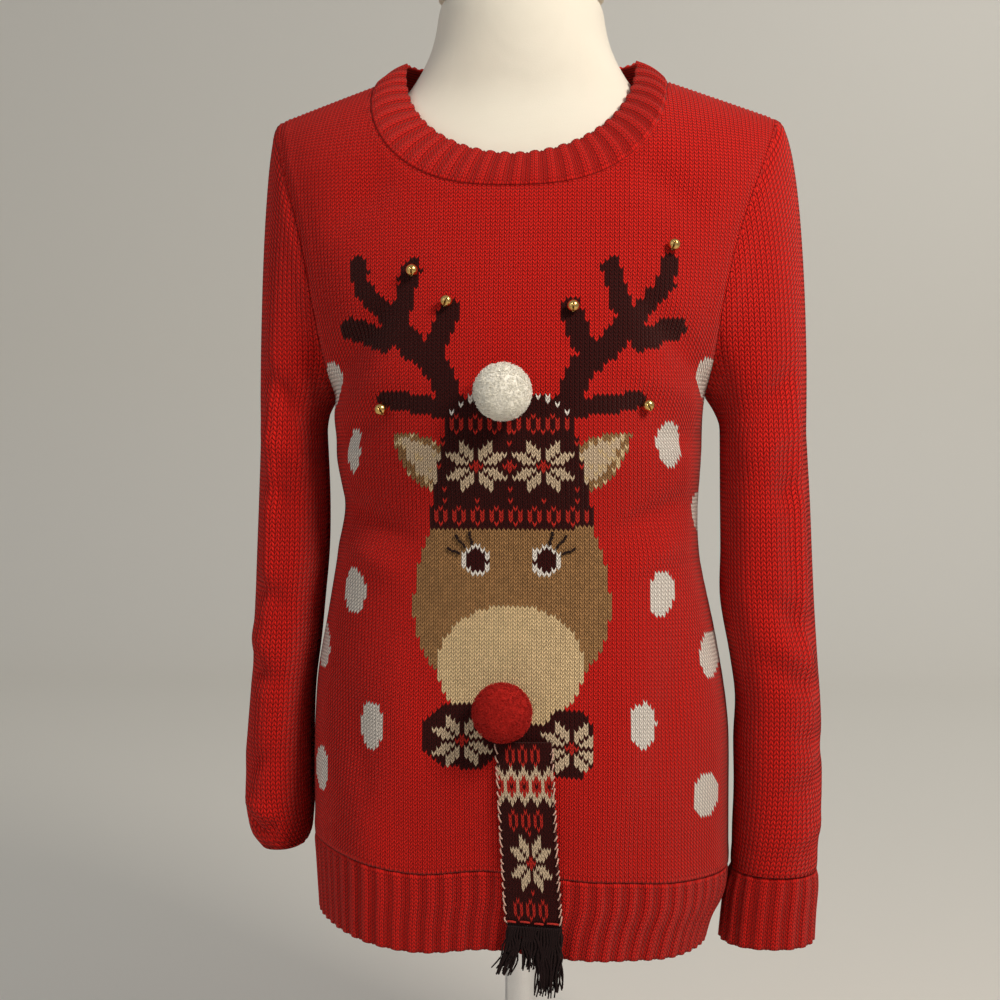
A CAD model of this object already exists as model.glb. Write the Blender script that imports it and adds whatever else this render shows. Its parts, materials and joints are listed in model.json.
import json
import math

import bmesh
import bpy
import numpy as np
from mathutils import Matrix, Vector

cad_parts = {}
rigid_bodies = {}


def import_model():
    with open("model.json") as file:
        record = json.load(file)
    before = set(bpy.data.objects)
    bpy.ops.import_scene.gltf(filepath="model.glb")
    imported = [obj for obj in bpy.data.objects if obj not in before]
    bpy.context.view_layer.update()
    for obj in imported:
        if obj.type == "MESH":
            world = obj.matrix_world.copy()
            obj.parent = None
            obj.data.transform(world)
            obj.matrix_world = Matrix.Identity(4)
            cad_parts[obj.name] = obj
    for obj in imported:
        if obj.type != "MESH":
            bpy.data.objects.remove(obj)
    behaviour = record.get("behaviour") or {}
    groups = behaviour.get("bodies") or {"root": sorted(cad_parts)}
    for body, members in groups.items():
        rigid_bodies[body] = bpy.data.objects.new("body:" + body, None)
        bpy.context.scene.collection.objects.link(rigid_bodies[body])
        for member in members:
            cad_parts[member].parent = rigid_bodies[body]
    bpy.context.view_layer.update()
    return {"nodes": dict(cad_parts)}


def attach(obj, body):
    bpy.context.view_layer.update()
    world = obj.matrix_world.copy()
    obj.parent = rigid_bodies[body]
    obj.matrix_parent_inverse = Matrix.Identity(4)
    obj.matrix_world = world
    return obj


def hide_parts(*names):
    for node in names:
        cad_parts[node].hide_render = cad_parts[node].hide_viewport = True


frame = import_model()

# Metres, the sweater's front faces -Y; left and right are the wearer's, so left is at +X.

# The CAD's own sizes, so the knitting lies on its solids.
cloth = {
    "knit": 0.0022,
    "rib": 0.0028,
    "gap": 0.0003,
    "hem": 0.2195,
    "hemRib": 0.060,
    "hemTilt": 0.0703,
    "hemBend": 0.158,
    "hemSag": 0.0075,
    "hemSagAt": -0.070,
    "hemSagWide": 0.040,
    "tiltStart": 0.30,
    "tiltEnd": 0.60,
    "armpit": 0.627,
    "shoulderRoll": 0.070,
    "shoulderTop": 0.912,
    "shoulderSlope": 0.355,
    "neckHalf": 0.114,
    "neckFront": 0.782,
    "neckBack": 0.864,
    "collarHalf": 0.0895,
    "collarSide": 0.889,
    "collarFront": 0.808,
    "collarBack": 0.892,
    "round": 2.3,
}
neckSide = cloth["shoulderTop"] - cloth["shoulderSlope"] * cloth["neckHalf"]

# height along the cloth, half width right, half width left, depth front, depth back
bodyTable = [
    (0.200, 0.1590, 0.1430, 0.1120, 0.1080),
    (0.219, 0.1592, 0.1460, 0.1140, 0.1090),
    (0.240, 0.1603, 0.1520, 0.1165, 0.1105),
    (0.258, 0.1613, 0.1605, 0.1180, 0.1115),
    (0.280, 0.1627, 0.1632, 0.1185, 0.1125),
    (0.343, 0.1632, 0.1635, 0.1195, 0.1130),
    (0.382, 0.1620, 0.1630, 0.1180, 0.1110),
    (0.412, 0.1596, 0.1596, 0.1155, 0.1080),
    (0.454, 0.1525, 0.1517, 0.1100, 0.1010),
    (0.502, 0.1446, 0.1407, 0.1045, 0.0940),
    (0.524, 0.1407, 0.1383, 0.1040, 0.0915),
    (0.546, 0.1390, 0.1385, 0.1070, 0.0905),
    (0.586, 0.1450, 0.1410, 0.1190, 0.0920),
    (0.627, 0.1450, 0.1430, 0.1235, 0.0950),
    (0.660, 0.1580, 0.1570, 0.1195, 0.0970),
    (0.700, 0.1750, 0.1750, 0.1120, 0.0985),
    (0.750, 0.1900, 0.1900, 0.0985, 0.0985),
    (0.800, 0.2010, 0.2030, 0.0840, 0.0950),
    (0.860, 0.2030, 0.2070, 0.0680, 0.0850),
    (0.920, 0.2040, 0.2090, 0.0540, 0.0720),
]

# height along the cloth, distance of the armhole seam from the middle, right and left
armholeTable = [
    (0.627, 0.1450, 0.1430),
    (0.660, 0.1500, 0.1500),
    (0.690, 0.1540, 0.1545),
    (0.735, 0.1620, 0.1635),
    (0.771, 0.1710, 0.1740),
    (0.812, 0.1830, 0.1880),
    (0.850, 0.1895, 0.1955),
    (0.900, 0.1900, 0.1970),
]

# soft folds down the body: face, place across, lowest, highest, width, depth outwards
foldTable = [
    (-1, -0.112, 0.20, 0.44, 0.032, 0.0150),
    (-1, -0.022, 0.20, 0.36, 0.028, -0.0060),
    (-1, 0.062, 0.20, 0.42, 0.034, 0.0075),
    (-1, 0.116, 0.20, 0.40, 0.022, 0.0060),
    (1, -0.100, 0.20, 0.42, 0.026, 0.0060),
    (1, -0.030, 0.20, 0.38, 0.024, -0.0055),
    (1, 0.045, 0.20, 0.43, 0.030, 0.0065),
    (1, 0.108, 0.20, 0.36, 0.018, -0.0050),
]

# height, nearest and farthest distance from the middle, reach to the front and to the back
leftSleeveTable = [
    (0.600, 0.1560, 0.2225, 0.0500, 0.0480),
    (0.550, 0.1565, 0.2260, 0.0490, 0.0470),
    (0.510, 0.1570, 0.2280, 0.0480, 0.0460),
    (0.470, 0.1570, 0.2300, 0.0480, 0.0450),
    (0.430, 0.1640, 0.2325, 0.0475, 0.0440),
    (0.395, 0.1690, 0.2350, 0.0470, 0.0430),
    (0.360, 0.1680, 0.2362, 0.0460, 0.0430),
    (0.325, 0.1685, 0.2366, 0.0450, 0.0420),
    (0.290, 0.1675, 0.2345, 0.0440, 0.0410),
    (0.2595, 0.1670, 0.2325, 0.0410, 0.0380),
]
leftCuffTable = [
    (0.2592, 0.1660, 0.2330, 0.0400, 0.0370),
    (0.245, 0.1620, 0.2335, 0.0405, 0.0375),
    (0.225, 0.1595, 0.2320, 0.0400, 0.0370),
    (0.2035, 0.1575, 0.2310, 0.0400, 0.0370),
]
rightSleeveTable = [
    (0.600, 0.1560, 0.2060, 0.0470, 0.0460),
    (0.549, 0.1540, 0.2090, 0.0465, 0.0460),
    (0.510, 0.1545, 0.2110, 0.0460, 0.0450),
    (0.475, 0.1575, 0.2125, 0.0460, 0.0440),
    (0.440, 0.1610, 0.2140, 0.0450, 0.0440),
    (0.400, 0.1660, 0.2155, 0.0450, 0.0430),
    (0.366, 0.1675, 0.2180, 0.0450, 0.0430),
    (0.337, 0.1675, 0.2205, 0.0440, 0.0420),
    (0.311, 0.1675, 0.2205, 0.0430, 0.0410),
    (0.293, 0.1685, 0.2185, 0.0410, 0.0390),
    (0.280, 0.1705, 0.2130, 0.0380, 0.0360),
    (0.272, 0.1740, 0.2070, 0.0340, 0.0330),
]
rightCuffTable = [
    (0.280, 0.1755, 0.2075, 0.0325, 0.0315),
    (0.292, 0.1745, 0.2100, 0.0345, 0.0335),
    (0.308, 0.1735, 0.2130, 0.0370, 0.0360),
    (0.326, 0.1730, 0.2140, 0.0380, 0.0370),
]


# the cloth's surfaces
def readTable(table, column, at):
    rows = np.array(sorted(table))
    at = np.clip(at, rows[0, 0], rows[-1, 0])
    index = np.clip(np.searchsorted(rows[:, 0], at), 1, len(rows) - 1)
    low = rows[index - 1]
    high = rows[index]
    before = rows[np.maximum(index - 2, 0)]
    after = rows[np.minimum(index + 1, len(rows) - 1)]
    span = high[..., 0] - low[..., 0]
    part = (at - low[..., 0]) / span
    startSlope = (high[..., column] - before[..., column]) / (high[..., 0] - before[..., 0]) * span
    endSlope = (after[..., column] - low[..., column]) / (after[..., 0] - low[..., 0]) * span
    square = part * part
    cube = square * part
    return ((2 * cube - 3 * square + 1) * low[..., column] + (cube - 2 * square + part) * startSlope
            + (3 * square - 2 * cube) * high[..., column] + (cube - square) * endSlope)


def fade(value, start, end):
    # 1 at start, 0 at end, with soft ends
    part = np.clip((value - start) / (end - start), 0.0, 1.0)
    return 1.0 - part * part * (3.0 - 2.0 * part)


def shoulderHeight(across):
    return cloth["shoulderTop"] - cloth["shoulderSlope"] * np.abs(across)


def clothRow(across, height):
    roll = cloth["shoulderRoll"]
    start = shoulderHeight(across) - roll
    rise = np.clip((height - start) / roll, 0.0, 1.0)
    return np.where(height <= start, height, start + roll * np.arcsin(rise))


def shoulderRow(across):
    return shoulderHeight(across) + cloth["shoulderRoll"] * (math.pi / 2 - 1)


def sideTable(table, side, row):
    return np.where(side > 0, readTable(table, 2, row), readTable(table, 1, row))


def edgeAngle(side, row):
    width = sideTable(bodyTable, side, row)
    ratio = np.minimum(sideTable(armholeTable, side, row) / width, 1.0)
    return np.where(row <= cloth["armpit"], math.pi / 2, np.arcsin(ratio ** (cloth["round"] / 2)))


def signedPower(value, power):
    return np.sign(value) * np.abs(value) ** power


def foldDepth(face, across, row):
    depth = np.zeros(np.broadcast(across, row).shape)
    for side, middle, low, high, width, reach in foldTable:
        if side == face:
            spread = np.exp(-((across - middle) / width) ** 2)
            depth = depth + reach * spread * fade(row, low + 0.4 * (high - low), high)
    return depth


def bodyPoint(face, turn, row):
    # face -1 is the front, 1 the back; turn runs from -90 to 90 degrees across
    power = 2 / cloth["round"]
    roll = cloth["shoulderRoll"]
    across = signedPower(np.sin(turn), power) * sideTable(bodyTable, turn, row)
    depth = readTable(bodyTable, 3 if face < 0 else 4, row)
    start = shoulderHeight(across) - roll
    bend = np.clip((row - start) / roll, 0.0, math.pi / 2)
    height = np.where(row > start, start + roll * np.sin(bend), row)
    tilt = (cloth["hemTilt"] + cloth["hemBend"] * across) * across
    tilt = tilt + cloth["hemSag"] * np.exp(-((across - cloth["hemSagAt"]) / cloth["hemSagWide"]) ** 2)
    height = height - tilt * fade(row, cloth["tiltStart"], cloth["tiltEnd"])
    cover = np.abs(np.cos(turn)) ** power
    depth = depth * np.cos(bend) * cover + foldDepth(face, across, row) * np.minimum(1.0, 1.6 * cover)
    return np.stack([across, face * depth, height], -1)


def turnAt(across, row):
    ratio = np.minimum(np.abs(across) / sideTable(bodyTable, across, row), 1.0)
    return np.sign(across) * np.arcsin(ratio ** (cloth["round"] / 2))


def neckTop(face, across):
    # the row at which a panel ends: the neckline, or the shoulder beside it
    part = np.minimum(np.abs(across) / cloth["neckHalf"], 1.0)
    lowest = cloth["neckFront"] if face < 0 else cloth["neckBack"]
    height = neckSide - (neckSide - lowest) * (1 - part ** 2.6) ** (1 / 2.2)
    return np.where(np.abs(across) < cloth["neckHalf"], clothRow(across, height), shoulderRow(across))


def unit(vectors):
    return vectors / np.maximum(np.linalg.norm(vectors, axis=-1, keepdims=True), 1e-12)


# knitting on a surface
stitch = {
    "wale": 0.0035,          # width of a stitch
    "row": 0.0028,           # height of a stitch
    "slant": 0.9,            # how far a stitch's arms rise, in rows
    "groove": 0.0009,        # how deep the grooves between the wales are
}


def resample(values, lengths, at):
    # values along each row's length, read at the same distances on every row
    out = np.empty((len(values), len(at), values.shape[2]))
    for index in range(len(values)):
        for axis in range(values.shape[2]):
            out[index, :, axis] = np.interp(at, lengths[index], values[index, :, axis])
    return out


def surfaceTable(points, middle, outward):
    # a surface's sampled rows: lengths from the middle sample, and normals
    steps = np.linalg.norm(np.diff(points, axis=1), axis=2)
    lengths = np.concatenate([np.zeros((len(points), 1)), np.cumsum(steps, axis=1)], axis=1)
    lengths -= lengths[:, middle:middle + 1]
    around = unit(np.gradient(points, axis=1))
    along = np.gradient(points, axis=0)
    normals = unit(np.cross(around, along)) * outward
    return lengths, normals


def readRows(grid, rows, at):
    # grid[row, column] read at each column's own heights at[column, level]
    place = np.interp(at, rows, np.arange(len(rows)))
    low = np.clip(np.floor(place).astype(int), 0, len(rows) - 2)
    part = (place - low)[..., None]
    column = np.arange(grid.shape[1])[:, None]
    return grid[low, column] * (1 - part) + grid[low + 1, column] * part


def softLine(x, z, mark):
    # a soft crease: from, to, width and depth, strongest at its middle, in metres
    x0, z0, x1, z1, width, depth = mark
    dx = x1 - x0
    dz = z1 - z0
    length = math.hypot(dx, dz)
    part = np.clip(((x - x0) * dx + (z - z0) * dz) / length ** 2, -0.2, 1.2)
    away = np.hypot(x - x0 - part * dx, z - z0 - part * dz)
    taper = np.clip(1 - np.abs(part - 0.5) / 0.7, 0, 1)
    return depth * np.exp(-(away / width) ** 2) * taper * taper * (3 - 2 * taper)


def creaseDepth(marks, x, z):
    depth = np.zeros(x.shape)
    for mark in marks:
        depth = depth + softLine(x, z, mark)
    return depth


def gridFaces(columns, levels, start, turned):
    k, j = np.meshgrid(np.arange(columns - 1), np.arange(levels - 1), indexing="ij")
    first = (start + k * levels + j).ravel()
    faces = np.stack([first, first + levels, first + levels + 1, first + 1], 1)
    return faces[:, ::-1] if turned else faces


def rimFaces(outerLoop, innerLoop, steps):
    # faces between the outer edge and a coarser inner edge, whose points it passes at steps
    faces = []
    for index in range(len(steps) - 1):
        a = steps[index]
        b = steps[index + 1]
        mid = (a + b) // 2
        for f in range(a, mid):
            faces.append((innerLoop[index], outerLoop[f + 1], outerLoop[f]))
        faces.append((innerLoop[index], innerLoop[index + 1], outerLoop[mid]))
        for f in range(mid, b):
            faces.append((innerLoop[index + 1], outerLoop[f + 1], outerLoop[f]))
    return faces


# cloth is pinched in at a seam, swells beside it, and swells above a rib
seam = {
    "pinch": 0.0004,
    "pinchWide": 0.0025,
    "ridge": 0.0005,
    "ridgeAt": 0.008,
    "ridgeWide": 0.004,
    "footAt": 0.005,
    "footWide": 0.008,
    "calmWide": 0.02,        # no creases nearer to an edge than about this
    "thinWithin": 0.006,     # the lining rises to the edge within this
    "panelSwell": 0.0007,
    "sleeveSwell": 0.0006,
}
# how many half wales and rows one face of the lining spans
liningStep = {
    "panel": (8, 5),
    "rib": (4, 5),
    "tail": (6, 5),
}


def seamPuff(toEdge, toFoot, swell):
    pinch = -seam["pinch"] * np.exp(-(toEdge / seam["pinchWide"]) ** 2)
    puff = pinch + seam["ridge"] * np.exp(-((toEdge - seam["ridgeAt"]) / seam["ridgeWide"]) ** 2)
    return puff + swell * np.exp(-((toFoot - seam["footAt"]) / seam["footWide"]) ** 2)


def everySo(count, step):
    picks = list(range(0, count - 1, step))
    return picks + [count - 1]


def lowestAround(values, pickColumns, pickLevels):
    # the lowest value from one pick to the next on each side, so that a coarse lining stays inside
    low = values[np.ix_(pickColumns, pickLevels)].copy()
    for a in range(1, len(pickColumns) - 1):
        for b in range(1, len(pickLevels) - 1):
            low[a, b] = values[pickColumns[a - 1]:pickColumns[a + 1] + 1,
                               pickLevels[b - 1]:pickLevels[b + 1] + 1].min()
    return low


def waleColumns(points, lengths, normals, wale):
    # a surface read along every half wale, counted from its middle
    half = int(math.ceil(np.abs(lengths).max() / wale * 2)) + 1
    half += half % 2
    column = np.arange(-half, half + 1)
    at = column * wale / 2
    return column, at[:, None], resample(points, lengths, at), unit(resample(normals, lengths, at))


def liningUnder(flat, out, fold, toEdge, thin):
    # the lining's picked columns and levels, and its points
    pickColumns = everySo(flat.shape[0], liningStep["panel"][0])
    pickLevels = everySo(flat.shape[1], liningStep["panel"][1])
    pick = np.ix_(pickColumns, pickLevels)
    wall = np.where(toEdge < seam["thinWithin"], thin, cloth["knit"])[pick][..., None]
    low = lowestAround(fold, pickColumns, pickLevels)[..., None]
    return pickColumns, pickLevels, flat[pick] + out[pick] * (low - wall)


def addObject(name, data):
    thing = bpy.data.objects.new(name, data)
    bpy.context.scene.collection.objects.link(thing)
    return thing


def oneColour(shape, colour):
    colours = np.empty(shape + (3,))
    colours[:] = colour
    return colours


def shell(name, outer, inner, pickColumns, pickLevels, closed, colours, column, material, turned=False):
    # a knitted wall: the relief outside, a coarse lining, rims between them
    # outer and inner are grids of points, inner at the picked columns and levels; colours one
    # for each outer face; column numbers the half wales
    columns, levels = outer.shape[:2]
    marks = np.stack(np.broadcast_arrays((column / 2)[:, None], np.arange(levels, dtype=float)), -1)
    points = np.concatenate([outer.reshape(-1, 3), inner.reshape(-1, 3)])
    base = columns * levels
    outerFaces = gridFaces(columns, levels, 0, False)
    innerFaces = gridFaces(len(pickColumns), len(pickLevels), base, True)

    def outerAt(k, j):
        return k * levels + j

    def innerAt(k, j):
        return base + k * len(pickLevels) + j

    lastK = columns - 1
    lastJ = levels - 1
    lastPickK = len(pickColumns) - 1
    lastPickJ = len(pickLevels) - 1
    rims = rimFaces([outerAt(k, 0) for k in range(columns)],
                    [innerAt(k, 0) for k in range(lastPickK + 1)], pickColumns)
    rims += [face[::-1] for face in
             rimFaces([outerAt(k, lastJ) for k in range(columns)],
                      [innerAt(k, lastPickJ) for k in range(lastPickK + 1)], pickColumns)]
    if not closed:
        rims += [face[::-1] for face in
                 rimFaces([outerAt(0, j) for j in range(levels)],
                          [innerAt(0, j) for j in range(lastPickJ + 1)], pickLevels)]
        rims += rimFaces([outerAt(lastK, j) for j in range(levels)],
                         [innerAt(lastPickK, j) for j in range(lastPickJ + 1)], pickLevels)
    # points in the same place become one, and faces that close up are dropped
    keys = np.round(points / 2e-6).astype(np.int64)
    _, firsts, which = np.unique(keys, axis=0, return_index=True, return_inverse=True)
    which = which.ravel()
    faces = []
    sources = []
    for index, face in enumerate(outerFaces.tolist() + innerFaces.tolist() + rims):
        kept = []
        origin = []
        for corner in face:
            if which[corner] not in kept:
                kept.append(which[corner])
                origin.append(corner)
        if len(kept) > 2:
            faces.append(kept)
            sources.append((index, origin))
    data = bpy.data.meshes.new(name)
    data.from_pydata(points[firsts].tolist(), [], [list(map(int, face)) for face in faces])
    corners = sum(len(face) for face in faces)
    uv = np.zeros((corners, 2))
    yarn = np.ones((corners, 4))
    at = 0
    marksFlat = np.concatenate([marks.reshape(-1, 2),
                                marks[np.ix_(pickColumns, pickLevels)].reshape(-1, 2)])
    coloursFlat = colours.reshape(-1, 3)
    lining = coloursFlat[0]
    rimStart = len(outerFaces) + len(innerFaces)
    for index, origin in sources:
        colour = coloursFlat[index] if index < len(outerFaces) else lining
        for corner in origin:
            uv[at] = marksFlat[corner] if index < rimStart else (0.25, 0.5)
            yarn[at, :3] = colour
            at += 1
    data.uv_layers.new(name="stitch").data.foreach_set("uv", uv.ravel())
    data.color_attributes.new("yarn", "FLOAT_COLOR", "CORNER").data.foreach_set("color", yarn.ravel())
    data.validate()
    data.shade_smooth()
    data.materials.append(material)
    if turned:
        data.flip_normals()
    return addObject(name, data)


def panelTable(face, rows):
    # the panel's surface on rows of samples from its right edge to its left
    part = np.linspace(-1, 1, 161)[None, :]
    row = rows[:, None]
    turn = part * edgeAngle(part, row)
    points = bodyPoint(face, turn, row)
    lengths, normals = surfaceTable(points, 80, 1)
    facing = np.sign(normals[:, 80:81, 1:2]) * face
    return points, lengths, normals * facing


# soft creases: from x, z, to x, z, half width, depth outwards
frontCreases = [
    (-0.150, 0.632, -0.080, 0.704, 0.012, -0.0062),
    (-0.150, 0.606, -0.072, 0.652, 0.012, 0.0046),
    (-0.146, 0.590, -0.095, 0.612, 0.009, -0.0036),
    (0.150, 0.634, 0.086, 0.712, 0.012, -0.0062),
    (0.150, 0.610, 0.078, 0.655, 0.012, 0.0045),
    (0.146, 0.588, 0.100, 0.604, 0.010, -0.0034),
    (-0.142, 0.545, -0.072, 0.522, 0.010, -0.0048),
    (-0.142, 0.516, -0.082, 0.496, 0.011, 0.0040),
    (0.140, 0.552, 0.070, 0.524, 0.010, -0.0046),
    (0.140, 0.520, 0.080, 0.498, 0.011, 0.0040),
    (-0.128, 0.420, -0.102, 0.300, 0.018, -0.0060),
    (-0.088, 0.450, -0.070, 0.320, 0.016, 0.0036),
    (0.132, 0.470, 0.108, 0.345, 0.016, -0.0046),
    (0.090, 0.420, 0.078, 0.300, 0.018, 0.0034),
    (-0.138, 0.752, -0.085, 0.800, 0.014, -0.0046),
    (0.144, 0.756, 0.088, 0.804, 0.014, -0.0048),
    (0.120, 0.815, 0.062, 0.848, 0.010, 0.0026),
]
backCreases = [
    (-0.148, 0.634, -0.076, 0.698, 0.013, -0.0060),
    (0.148, 0.636, 0.080, 0.704, 0.013, -0.0062),
    (-0.146, 0.606, -0.082, 0.640, 0.012, 0.0042),
    (0.146, 0.600, 0.074, 0.628, 0.013, 0.0040),
    (-0.140, 0.545, -0.056, 0.512, 0.011, -0.0054),
    (0.138, 0.548, 0.048, 0.508, 0.011, -0.0052),
    (-0.140, 0.512, -0.070, 0.486, 0.012, 0.0042),
    (0.138, 0.510, 0.066, 0.480, 0.012, 0.0040),
    (-0.066, 0.500, 0.056, 0.490, 0.012, -0.0040),
    (-0.052, 0.472, 0.062, 0.466, 0.012, 0.0030),
    (-0.114, 0.450, -0.086, 0.330, 0.017, -0.0050),
    (0.118, 0.440, 0.092, 0.325, 0.017, -0.0050),
    (-0.130, 0.762, -0.070, 0.812, 0.014, -0.0040),
    (0.134, 0.758, 0.078, 0.806, 0.014, -0.0040),
]


def makePanel(name, face, creases, paint, material):
    # front or back: stockinette in its own stitches
    rows = np.arange(cloth["hem"] + cloth["hemRib"] + cloth["gap"] / 2, 0.925, 0.003)
    points, lengths, normals = panelTable(face, rows)
    column, distance, place, lean = waleColumns(points, lengths, normals, stitch["wale"])
    # how far each column's own row of samples reaches
    over = rows[:, None] - neckTop(face, place[:, :, 0])
    top = np.empty(len(column))
    for k in range(len(column)):
        r = int(np.argmax(over[:, k] >= 0))
        share = over[r - 1, k] / (over[r - 1, k] - over[r, k])
        top[k] = rows[r - 1] + share * (rows[r] - rows[r - 1])
    count = int(math.ceil((top.max() - rows[0]) / stitch["row"])) + 1
    level = rows[0] + np.arange(count + 1) * stitch["row"]
    at = np.minimum(np.broadcast_to(level, (len(column), len(level))), top[:, None])
    left = np.interp(at, rows, lengths[:, -1])
    right = np.interp(at, rows, lengths[:, 0])
    inside = (distance < left - 1e-5) & (distance > right + 1e-5)
    odd = (column % 2 == 1)[:, None] & inside
    odd[:, 0] = False
    at = np.minimum(at + odd * stitch["slant"] * stitch["row"], top[:, None])
    flat = readRows(place, rows, at)
    out = unit(readRows(lean, rows, at))
    toEdge = np.minimum(np.minimum(left - distance, distance - right), top[:, None] - at)
    toFoot = at - rows[0]
    puff = seamPuff(toEdge, toFoot, seam["panelSwell"])
    calm = 1 - np.exp(-(np.maximum(np.minimum(toEdge, toFoot), 0) / seam["calmWide"]) ** 2)
    fold = calm * creaseDepth(creases, flat[..., 0], flat[..., 2])
    relief = puff + fold - odd * stitch["groove"]
    outer = flat + out * relief[..., None]
    outer[..., 1] = face * np.maximum(np.abs(outer[..., 1]), cloth["gap"] / 2)
    pickColumns, pickLevels, inner = liningUnder(flat, out, fold, toEdge, 0.0014)
    inner[..., 1] = face * np.maximum(np.abs(inner[..., 1]), cloth["gap"] / 2)
    # one colour for each stitch
    k = np.arange(len(column) - 1)
    centre = np.where(column[k] % 2 == 0, k, k + 1)
    x = flat[centre][:, :-1, 0]
    z = flat[centre][:, :-1, 2] + 0.95 * stitch["row"]
    walesAt = np.broadcast_to((column[centre] // 2)[:, None], x.shape)
    rowsAt = np.broadcast_to(np.arange(len(level) - 1)[None, :], x.shape)
    colours = paint(x * 1000, z * 1000, walesAt, rowsAt)
    return shell(name, outer, inner, pickColumns, pickLevels, False, colours, column, material, face > 0)


# what is knitted into the front, in millimetres across and up
yarns = {
    "red": (0.76, 0.016, 0.010),
    "dark": (0.048, 0.0040, 0.0035),
    "cream": (0.80, 0.60, 0.40),
    "white": (0.97, 0.88, 0.78),
    "fawn": (0.40, 0.205, 0.080),
    "sand": (0.88, 0.63, 0.34),
    "band": (0.60, 0.026, 0.016),
}

motif = {
    # from, to and half width of each stroke of one antler
    "antlers": [((73, 721), (80, 695), 7.3), ((80, 695), (88, 682), 8.0),
                ((115.5, 725), (112, 708), 6.6), ((112, 708), (94, 687), 7.0),
                ((122, 677), (94, 668), 8.2), ((88, 681), (68, 660), 9.2),
                ((68, 660), (53, 649), 9.4), ((53, 649), (45, 630), 9.2),
                ((45, 630), (36, 602), 9.0), ((44, 691), (53, 664), 7.8),
                ((91, 624.5), (48, 619), 6.7)],
    "hatFoot": (531, 62),
    "hatTop": (629, 42),
    "hatRound": 11,          # how far its top falls at its sides
    "hatTrim": 4.2,          # height of the pale stitches on its top
    "starPlace": (7, 575),
    "bandHeights": (541, 607),
    "face": (470, 73, 105, 66),
    "muzzle": (430, 54, 45),
    "eye": (25.5, 507, 8.2, 8.0, 11.2, 10.8),
    "ears": ((47, 567), (88, 601), 16.5),
    "earBorder": 5.8,
    "flecks": (0.72, 0.26),  # pale ones are above the first in the border, dark below the second
    "knot": (10, 378, 24, 10.5),
    "lobes": ((-34, 379.5, 29, 23), (43, 374.5, 19, 24)),
    # middle, height and half width
    "dots": [(-142, 636, 9), (-122, 587, 6), (-122, 481, 9.6), (-151, 436, 6.5), (-105, 384, 11.2),
             (-150, 343, 7), (146, 640, 9), (117, 592, 9.8), (141, 540, 6.5), (111, 481, 10),
             (149, 432, 7.5), (97, 386, 11), (145, 328, 10)],
    "dotTall": 16.6,
}

star = ["...X.....X...",
        "...XX...XX...",
        "...XXX.XXX...",
        "XXX.XX.XX.XXX",
        ".XXX.X.X.XXX.",
        "..XXX...XXX..",
        "......o......"]
star = star + star[-2::-1]
flower = [".X..",
          "X.X.",
          "X.X.",
          "X.X.",
          ".X.."]


def fleck(wale, row):
    # a steady scatter from 0 to 1, one value for each stitch
    mixed = np.sin(wale * 127.1 + row * 311.7) * 4375.8
    return np.mod(mixed + np.sin(wale * 3.7 - row * 5.1) * 91.3, 1.0)


def capsule(x, z, start, end):
    dx = end[0] - start[0]
    dz = end[1] - start[1]
    part = np.clip(((x - start[0]) * dx + (z - start[1]) * dz) / (dx * dx + dz * dz), 0, 1)
    return np.hypot(x - start[0] - part * dx, z - start[1] - part * dz)


def oval(x, z, middle, height, half, tall):
    return ((x - middle) / half) ** 2 + ((z - height) / tall) ** 2


def chartAt(chart, wale, row):
    # where a chart, read from its foot, has a cross; wale and row from its middle
    tall = len(chart)
    wide = len(chart[0])
    cells = np.array([[cell == "X" for cell in line] for line in chart[::-1]])
    column = wale + wide // 2
    line = row + tall // 2
    within = (column >= 0) & (column < wide) & (line >= 0) & (line < tall)
    return within & cells[np.clip(line, 0, tall - 1), np.clip(column, 0, wide - 1)]


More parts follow.
